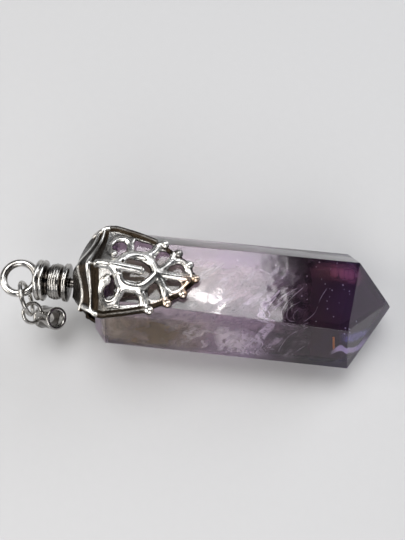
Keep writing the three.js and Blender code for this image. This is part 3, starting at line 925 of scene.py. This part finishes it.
VEIL_THREADS = [
    (0.11, [(19.96, 0.04, 4.27), (19.47, -0.66, 4.27), (18.78, -1.27, 4.27), (18.08, -1.66, 4.27),
            (18.33, -2.38, 4.26), (17.74, -2.96, 4.26), (18.44, -3.2, 4.2), (19.61, -3.4, 3.93),
            (19.11, -3.8, 3.22), (18.59, -3.8, 3.23), (18.1, -4.27, 2.4), (17.65, -4.91, 1.27),
            (16.93, -5.43, 0.32), (16.88, -6.0, -0.75)]),
    (0.07, [(19.62, -0.72, 4.1), (19.01, -1.56, 4.1), (18.6, -1.94, 4.1), (19.06, -2.67, 4.1),
            (18.9, -3.1, 4.0)]),
    (0.06, [(18.2, -4.5, 2.0), (18.9, -5.0, 1.1), (18.4, -5.6, 0.0), (18.8, -5.95, -0.6)]),
]


def film(first, second, uneven, seed):
    """A thin uneven sheet between two lines, with a UV map that runs from 0 to 1."""
    edges = []
    for line in (first, second):
        smooth = np.array(smooth_line(line, 8))
        at = np.linspace(0, 1, len(smooth))
        even = np.linspace(0, 1, FILM_STEPS + 1)
        edges.append(np.stack([np.interp(even, at, c) for c in smooth.T]))
    take()
    bpy.ops.mesh.primitive_grid_add(
        x_subdivisions=FILM_STEPS, y_subdivisions=FILM_CROSS_STEPS, size=2, calc_uvs=True)
    obj = bpy.context.object
    flat = (coordinates(obj)[:, :2] + 1) / 2
    along, across = np.rint(flat[:, 0] * FILM_STEPS).astype(int), flat[:, 1]
    points = (edges[0][:, along] * (1 - across) + edges[1][:, along] * across).T
    lift = [noise.noise(Vector(p) * 0.7 + Vector((seed, 0, 0))) for p in points]
    points[:, 2] += uneven * np.array(lift)
    set_coordinates(obj, points)
    return obj


def bare_crystal():
    """The solid's crystal as plain faces, in mm."""
    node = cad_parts["crystal"]
    crystal = node.copy()
    crystal.data = node.data.copy()
    crystal.parent = None
    for key in list(crystal.keys()):
        del crystal[key]
    bpy.context.scene.collection.objects.link(crystal)
    crystal.hide_viewport = crystal.hide_render = False
    crystal.hide_set(False)
    take(crystal)
    bpy.ops.object.mode_set(mode="EDIT")
    bpy.ops.mesh.select_all(action="SELECT")
    bpy.ops.mesh.remove_doubles(threshold=1e-6)
    bpy.ops.mesh.dissolve_limited(angle_limit=math.radians(0.5))
    bpy.ops.mesh.normals_make_consistent(inside=False)
    bpy.ops.object.mode_set(mode="OBJECT")
    crystal.data.transform(LYING.inverted())
    return crystal


def smoky_core():
    """A smaller shell of the crystal's front half, well under its faces."""
    core = bare_crystal()
    take(core)
    bpy.ops.object.mode_set(mode="EDIT")
    bpy.ops.mesh.select_all(action="SELECT")
    bpy.ops.mesh.bisect(plane_co=CORE_START, plane_no=(1, 0, 0), clear_inner=True)
    bpy.ops.object.mode_set(mode="OBJECT")
    points = coordinates(core)
    points = (points - CORE_START) * CORE_SHARE + CORE_START
    points[:, 2] *= np.where(points[:, 2] < 0, CORE_DEEPER, 1.0)
    set_coordinates(core, points)
    modify(core, "BEVEL", width=0.5, segments=3, limit_method="ANGLE", angle_limit=math.radians(5))
    return core


def inclusions():
    """Every film, thread and speck, with its material, as (name, object, material)."""
    tint = colours()
    films = lambda shapes, uneven: join(
        [film(*edges, uneven, 3.1 * k) for k, edges in enumerate(shapes)])
    yield "milky_clouds", films(MILKY_FILMS, 0.35), film_material(
        "milky_film", tint.milk, 380, 0.40, 0.62, 0.85, 0.25, (1.7, 1.0, 1.0), (0, 0, 0.5))
    yield "wisps", films(WISP_FILMS, 0.15), film_material(
        "wisp_film", tint.veil, 800, 0.51, 0.66, 0.75, 0.2, (3.5, 0.8, 1.0), (0, 0, 0.75))
    yield "jagged_veil", films(VEIL_FILMS, 0.2), film_material(
        "veil_film", tint.veil, 1700, 0.41, 0.50, 1.0, 0.25, (1.0, 1.8, 1.0), (0, 0, 0.4))
    yield "white_band", films(WHITE_FILMS, 0.03), film_material(
        "white_film", WHITE, 900, 0.1, 0.3, 1.4, 0.25)
    yield "lavender_zone", films(LAVENDER_FILMS, 0.05), film_material(
        "lavender_film", LAVENDER, 800, 0.3, 0.55, 0.7, 0.3)
    yield "rose_zone", films(ROSE_FILMS, 0.1), film_material(
        "rose_film", ROSE, 700, 0.24, 0.56, 0.75, 0.4, (0.6, 2.5, 1.0))
    yield "beige_haze", films(HAZE_FILMS, 0.1), film_material(
        "haze_film", BEIGE, 500, 0.2, 0.5, 0.8, 0.2)
    yield "smoky_core", smoky_core(), core_material()
    yield "rust_clouds", films(RUST_FILMS, 0.3), film_material(
        "rust_film", tint.rust, 330, 0.26, 0.56, 0.9, 0.16)
    threads = [wire(smooth_line(line, 5), 0.6 * radius, sides=1) for radius, line in THREADS]
    yield "fine_cracks", join(threads), broken_material("crack_edges", tint.veil, 900, 0.42, 0.56)
    threads = [wire(smooth_line(line, 3), radius, sides=1) for radius, line in VEIL_THREADS]
    yield "veil_edges", join(threads), broken_material("veil_glow", tint.veil, 1500, 0.36, 0.46)
    glint = wire(GLINT_LINE, 0.12, sides=2)
    yield "copper_glint", glint, plain_material("glint", GLINT, 0.3)


def specks():
    """Bright flakes low in the veil and under the top face, and a few single specks."""
    flakes = []
    for _ in range(LOW_FLAKES):
        u, v = noise.random(), noise.random() ** 1.5
        centre = Vector((14.6 + 5.2 * u, -6.0 + 1.1 * v, -0.75 + 1.7 * v))
        flakes.append(ball(centre, 0.07 + 0.12 * noise.random() ** 2, (1.6, 1.0, 0.6), 1))
    for _ in range(TOP_FLAKES):
        x, y = 12.0 + 16.5 * noise.random(), -3.3 + 6.7 * noise.random()
        flakes.append(ball((x, y, 4.25), 0.035 + 0.05 * noise.random() ** 2, (2.2, 1.0, 0.5), 1))
    flakes += [ball(centre, 0.09, detail=1) for centre in LONE_SPECKS]
    return join(flakes)


# Operators: one for each piece or group of like pieces


class PENDANT_OT_crystal(bpy.types.Operator):
    """Cut and polished amethyst point with rounded edges"""

    bl_idname = "pendant.crystal"
    bl_label = "Crystal"

    def execute(self, context):
        crystal = bare_crystal()
        modify(crystal, "BEVEL", width=sizes().edge_round, segments=3, limit_method="ANGLE",
               angle_limit=math.radians(5), harden_normals=True)
        place(crystal, "amethyst_point", "pendant", amethyst_material(), ["crystal"])
        return {"FINISHED"}


class PENDANT_OT_inclusions(bpy.types.Operator):
    """Milky clouds, veil, cracks, coloured films and specks inside the crystal"""

    bl_idname = "pendant.inclusions"
    bl_label = "Inclusions"

    def execute(self, context):
        for name, obj, material in inclusions():
            place(obj, name, "pendant", material)
        white = plain_material("bright_flakes", FLAKE_WHITE, 0.08)
        noise.seed_set(FLAKE_SEED)
        place(specks(), "flakes", "pendant", white)
        return {"FINISHED"}


class PENDANT_OT_cap(bpy.types.Operator):
    """Cast openwork cap with scrolls, ribs, rims and beads"""

    bl_idname = "pendant.cap"
    bl_label = "Filigree cap"

    def execute(self, context):
        place(filigree_cap(), "filigree_cap", "pendant", silver_material(), ["cap"])
        return {"FINISHED"}


class PENDANT_OT_neck(bpy.types.Operator):
    """Turned neck with its fixed ring and rivet"""

    bl_idname = "pendant.neck"
    bl_label = "Neck and ring"

    def execute(self, context):
        silver = bpy.data.materials["antique_silver"]
        place(neck_and_ring(), "turned_neck", "pendant", silver, ["neck_ring"])
        return {"FINISHED"}


class PENDANT_OT_hanging(bpy.types.Operator):
    """Jump ring, and the tube bail that hangs on it"""

    bl_idname = "pendant.hanging"
    bl_label = "Jump ring and tube bail"

    def execute(self, context):
        silver = bpy.data.materials["antique_silver"]
        place(cut_ring(), "wire_ring", "hanging_ring", silver, ["jump_ring"])
        place(tube_and_loop(), "tube_with_loop", "bail", silver, ["tube_bail"])
        return {"FINISHED"}


class PENDANT_OT_stage(bpy.types.Operator):
    """Pale floor, soft lights, sky and the camera"""

    bl_idname = "pendant.stage"
    bl_label = "Stage"

    def execute(self, context):
        pale_floor()
        lights()
        sky()
        camera()
        return {"FINISHED"}


class PENDANT_PT_pieces(bpy.types.Panel):
    """Lists the pendant's pieces, sizes and colours"""

    bl_label = "Amethyst pendant"
    bl_idname = "PENDANT_PT_pieces"
    bl_space_type = "VIEW_3D"
    bl_region_type = "UI"
    bl_category = "Pendant"

    def draw(self, context):
        for operator in OPERATORS:
            self.layout.operator(operator.bl_idname)
        for group in (context.scene.pendant_sizes, context.scene.pendant_colours):
            for name in group.__annotations__:
                self.layout.prop(group, name)


# Stage

VIEW_AZIMUTH, VIEW_ELEVATION, VIEW_ROLL = 10.895, 70.475, -6.241
VIEW_TARGET = Vector((0.495, 2.9, 6.97)) * MM
VIEW_DISTANCE = 69.5 * MM
VIEW_LENS = 40.0
ON_PIECES = (0, 0, 5)  # mm, where the side lights aim
SKY_STOPS, SKY_STRENGTH = (0.05, 0.7), 0.5
SKY_LOW, SKY_HIGH = (0.72, 0.74, 0.78, 1.0), (0.07, 0.075, 0.09, 1.0)


def pale_floor():
    take()
    bpy.ops.mesh.primitive_plane_add(size=3.0, location=(0, 0, 0))
    floor = bpy.context.object
    floor.name = "floor"
    m = Nodes("pale_floor")
    m.set(Base_Color=(*colours().floor, 1.0), Roughness=0.85)
    shade = [c * 0.97 for c in colours().floor]
    m.link(m.mix(m.noise(900, 3.0), shade, colours().floor), "Base Color")
    floor.data.materials.append(m.material)


def wide_sun(name, place_mm, way, across, power):
    """A sun that looks as wide as a sky panel, across being in degrees."""
    take()
    bpy.ops.object.light_add(type="SUN", location=Vector(place_mm) * MM)
    light = bpy.context.object
    light.name = name
    light.rotation_euler = Vector(way).to_track_quat("-Z", "Y").to_euler()
    light.data.angle = math.radians(across)
    light.data.energy = power


def soft_light(name, place_mm, aim_mm, size_mm, power, colour):
    take()
    spot, aim = Vector(place_mm) * MM, Vector(aim_mm) * MM
    bpy.ops.object.light_add(type="AREA", location=spot)
    light = bpy.context.object
    light.name = name
    light.rotation_euler = (aim - spot).to_track_quat("-Z", "Y").to_euler()
    light.data.shape = "RECTANGLE"
    light.data.size, light.data.size_y = size_mm[0] * MM, size_mm[1] * MM
    light.data.energy = power
    light.data.color = colour


def lights():
    wide_sun("key", (-35, 85, 275), (35, -85, -267), 38, 2.1)
    soft_light("spark", (27, 78.6, 278.4), (1.2, -1.6, 11.4), (20, 5), 0.01, (1.0, 0.97, 0.95))
    soft_light("side", (-250, -60, 170), ON_PIECES, (190, 190), 0.5, (1.0, 0.97, 0.92))
    soft_light("fill", (190, 210, 190), ON_PIECES, (200, 200), 0.45, (0.94, 0.96, 1.0))
    soft_light("front", (30, -250, 190), ON_PIECES, (190, 190), 0.42, (1.0, 0.98, 0.97))


def sky():
    """Pale at the horizon and dark overhead, for the facets and the metal to mirror."""
    world = bpy.data.worlds.new("studio")
    bpy.context.scene.world = world
    world.use_nodes = True
    tree = world.node_tree
    background = tree.nodes["Background"]
    way = tree.nodes.new("ShaderNodeTexCoord")
    split = tree.nodes.new("ShaderNodeSeparateXYZ")
    fade = tree.nodes.new("ShaderNodeValToRGB")
    for element, position, shade in zip(
            fade.color_ramp.elements, SKY_STOPS, (SKY_LOW, SKY_HIGH)):
        element.position, element.color = position, shade
    tree.links.new(way.outputs["Generated"], split.inputs[0])
    tree.links.new(split.outputs["Z"], fade.inputs["Fac"])
    tree.links.new(fade.outputs["Color"], background.inputs["Color"])
    background.inputs["Strength"].default_value = SKY_STRENGTH
    bpy.context.scene.view_settings.view_transform = "Standard"


def camera():
    azimuth, elevation, roll = map(math.radians, (VIEW_AZIMUTH, VIEW_ELEVATION, VIEW_ROLL))
    back = Vector((math.sin(azimuth) * math.cos(elevation),
                   -math.cos(azimuth) * math.cos(elevation), math.sin(elevation)))
    right = Vector((math.cos(azimuth), math.sin(azimuth), 0))
    up = back.cross(right)
    rolled_right = right * math.cos(roll) + up * math.sin(roll)
    rolled_up = up * math.cos(roll) - right * math.sin(roll)
    take()
    bpy.ops.object.camera_add()
    obj = bpy.context.object
    obj.matrix_world = axes(rolled_right, rolled_up, back, VIEW_TARGET + back * VIEW_DISTANCE)
    obj.data.lens = VIEW_LENS
    obj.data.sensor_width = 36.0
    obj.data.clip_start, obj.data.clip_end = 0.002, 10.0
    bpy.context.scene.camera = obj


OPERATORS = (PENDANT_OT_crystal, PENDANT_OT_inclusions, PENDANT_OT_cap, PENDANT_OT_neck,
             PENDANT_OT_hanging, PENDANT_OT_stage)
CLASSES = (PendantSizes, PendantColours, *OPERATORS, PENDANT_PT_pieces)


def register():
    for cls in CLASSES:
        bpy.utils.register_class(cls)
    bpy.types.Scene.pendant_sizes = bpy.props.PointerProperty(type=PendantSizes)
    bpy.types.Scene.pendant_colours = bpy.props.PointerProperty(type=PendantColours)


def unregister():
    del bpy.types.Scene.pendant_sizes
    del bpy.types.Scene.pendant_colours
    for cls in reversed(CLASSES):
        bpy.utils.unregister_class(cls)


def main():
    register()
    for operator in OPERATORS:
        group, name = operator.bl_idname.split(".")
        getattr(getattr(bpy.ops, group), name)()


if __name__ == "__main__":
    main()
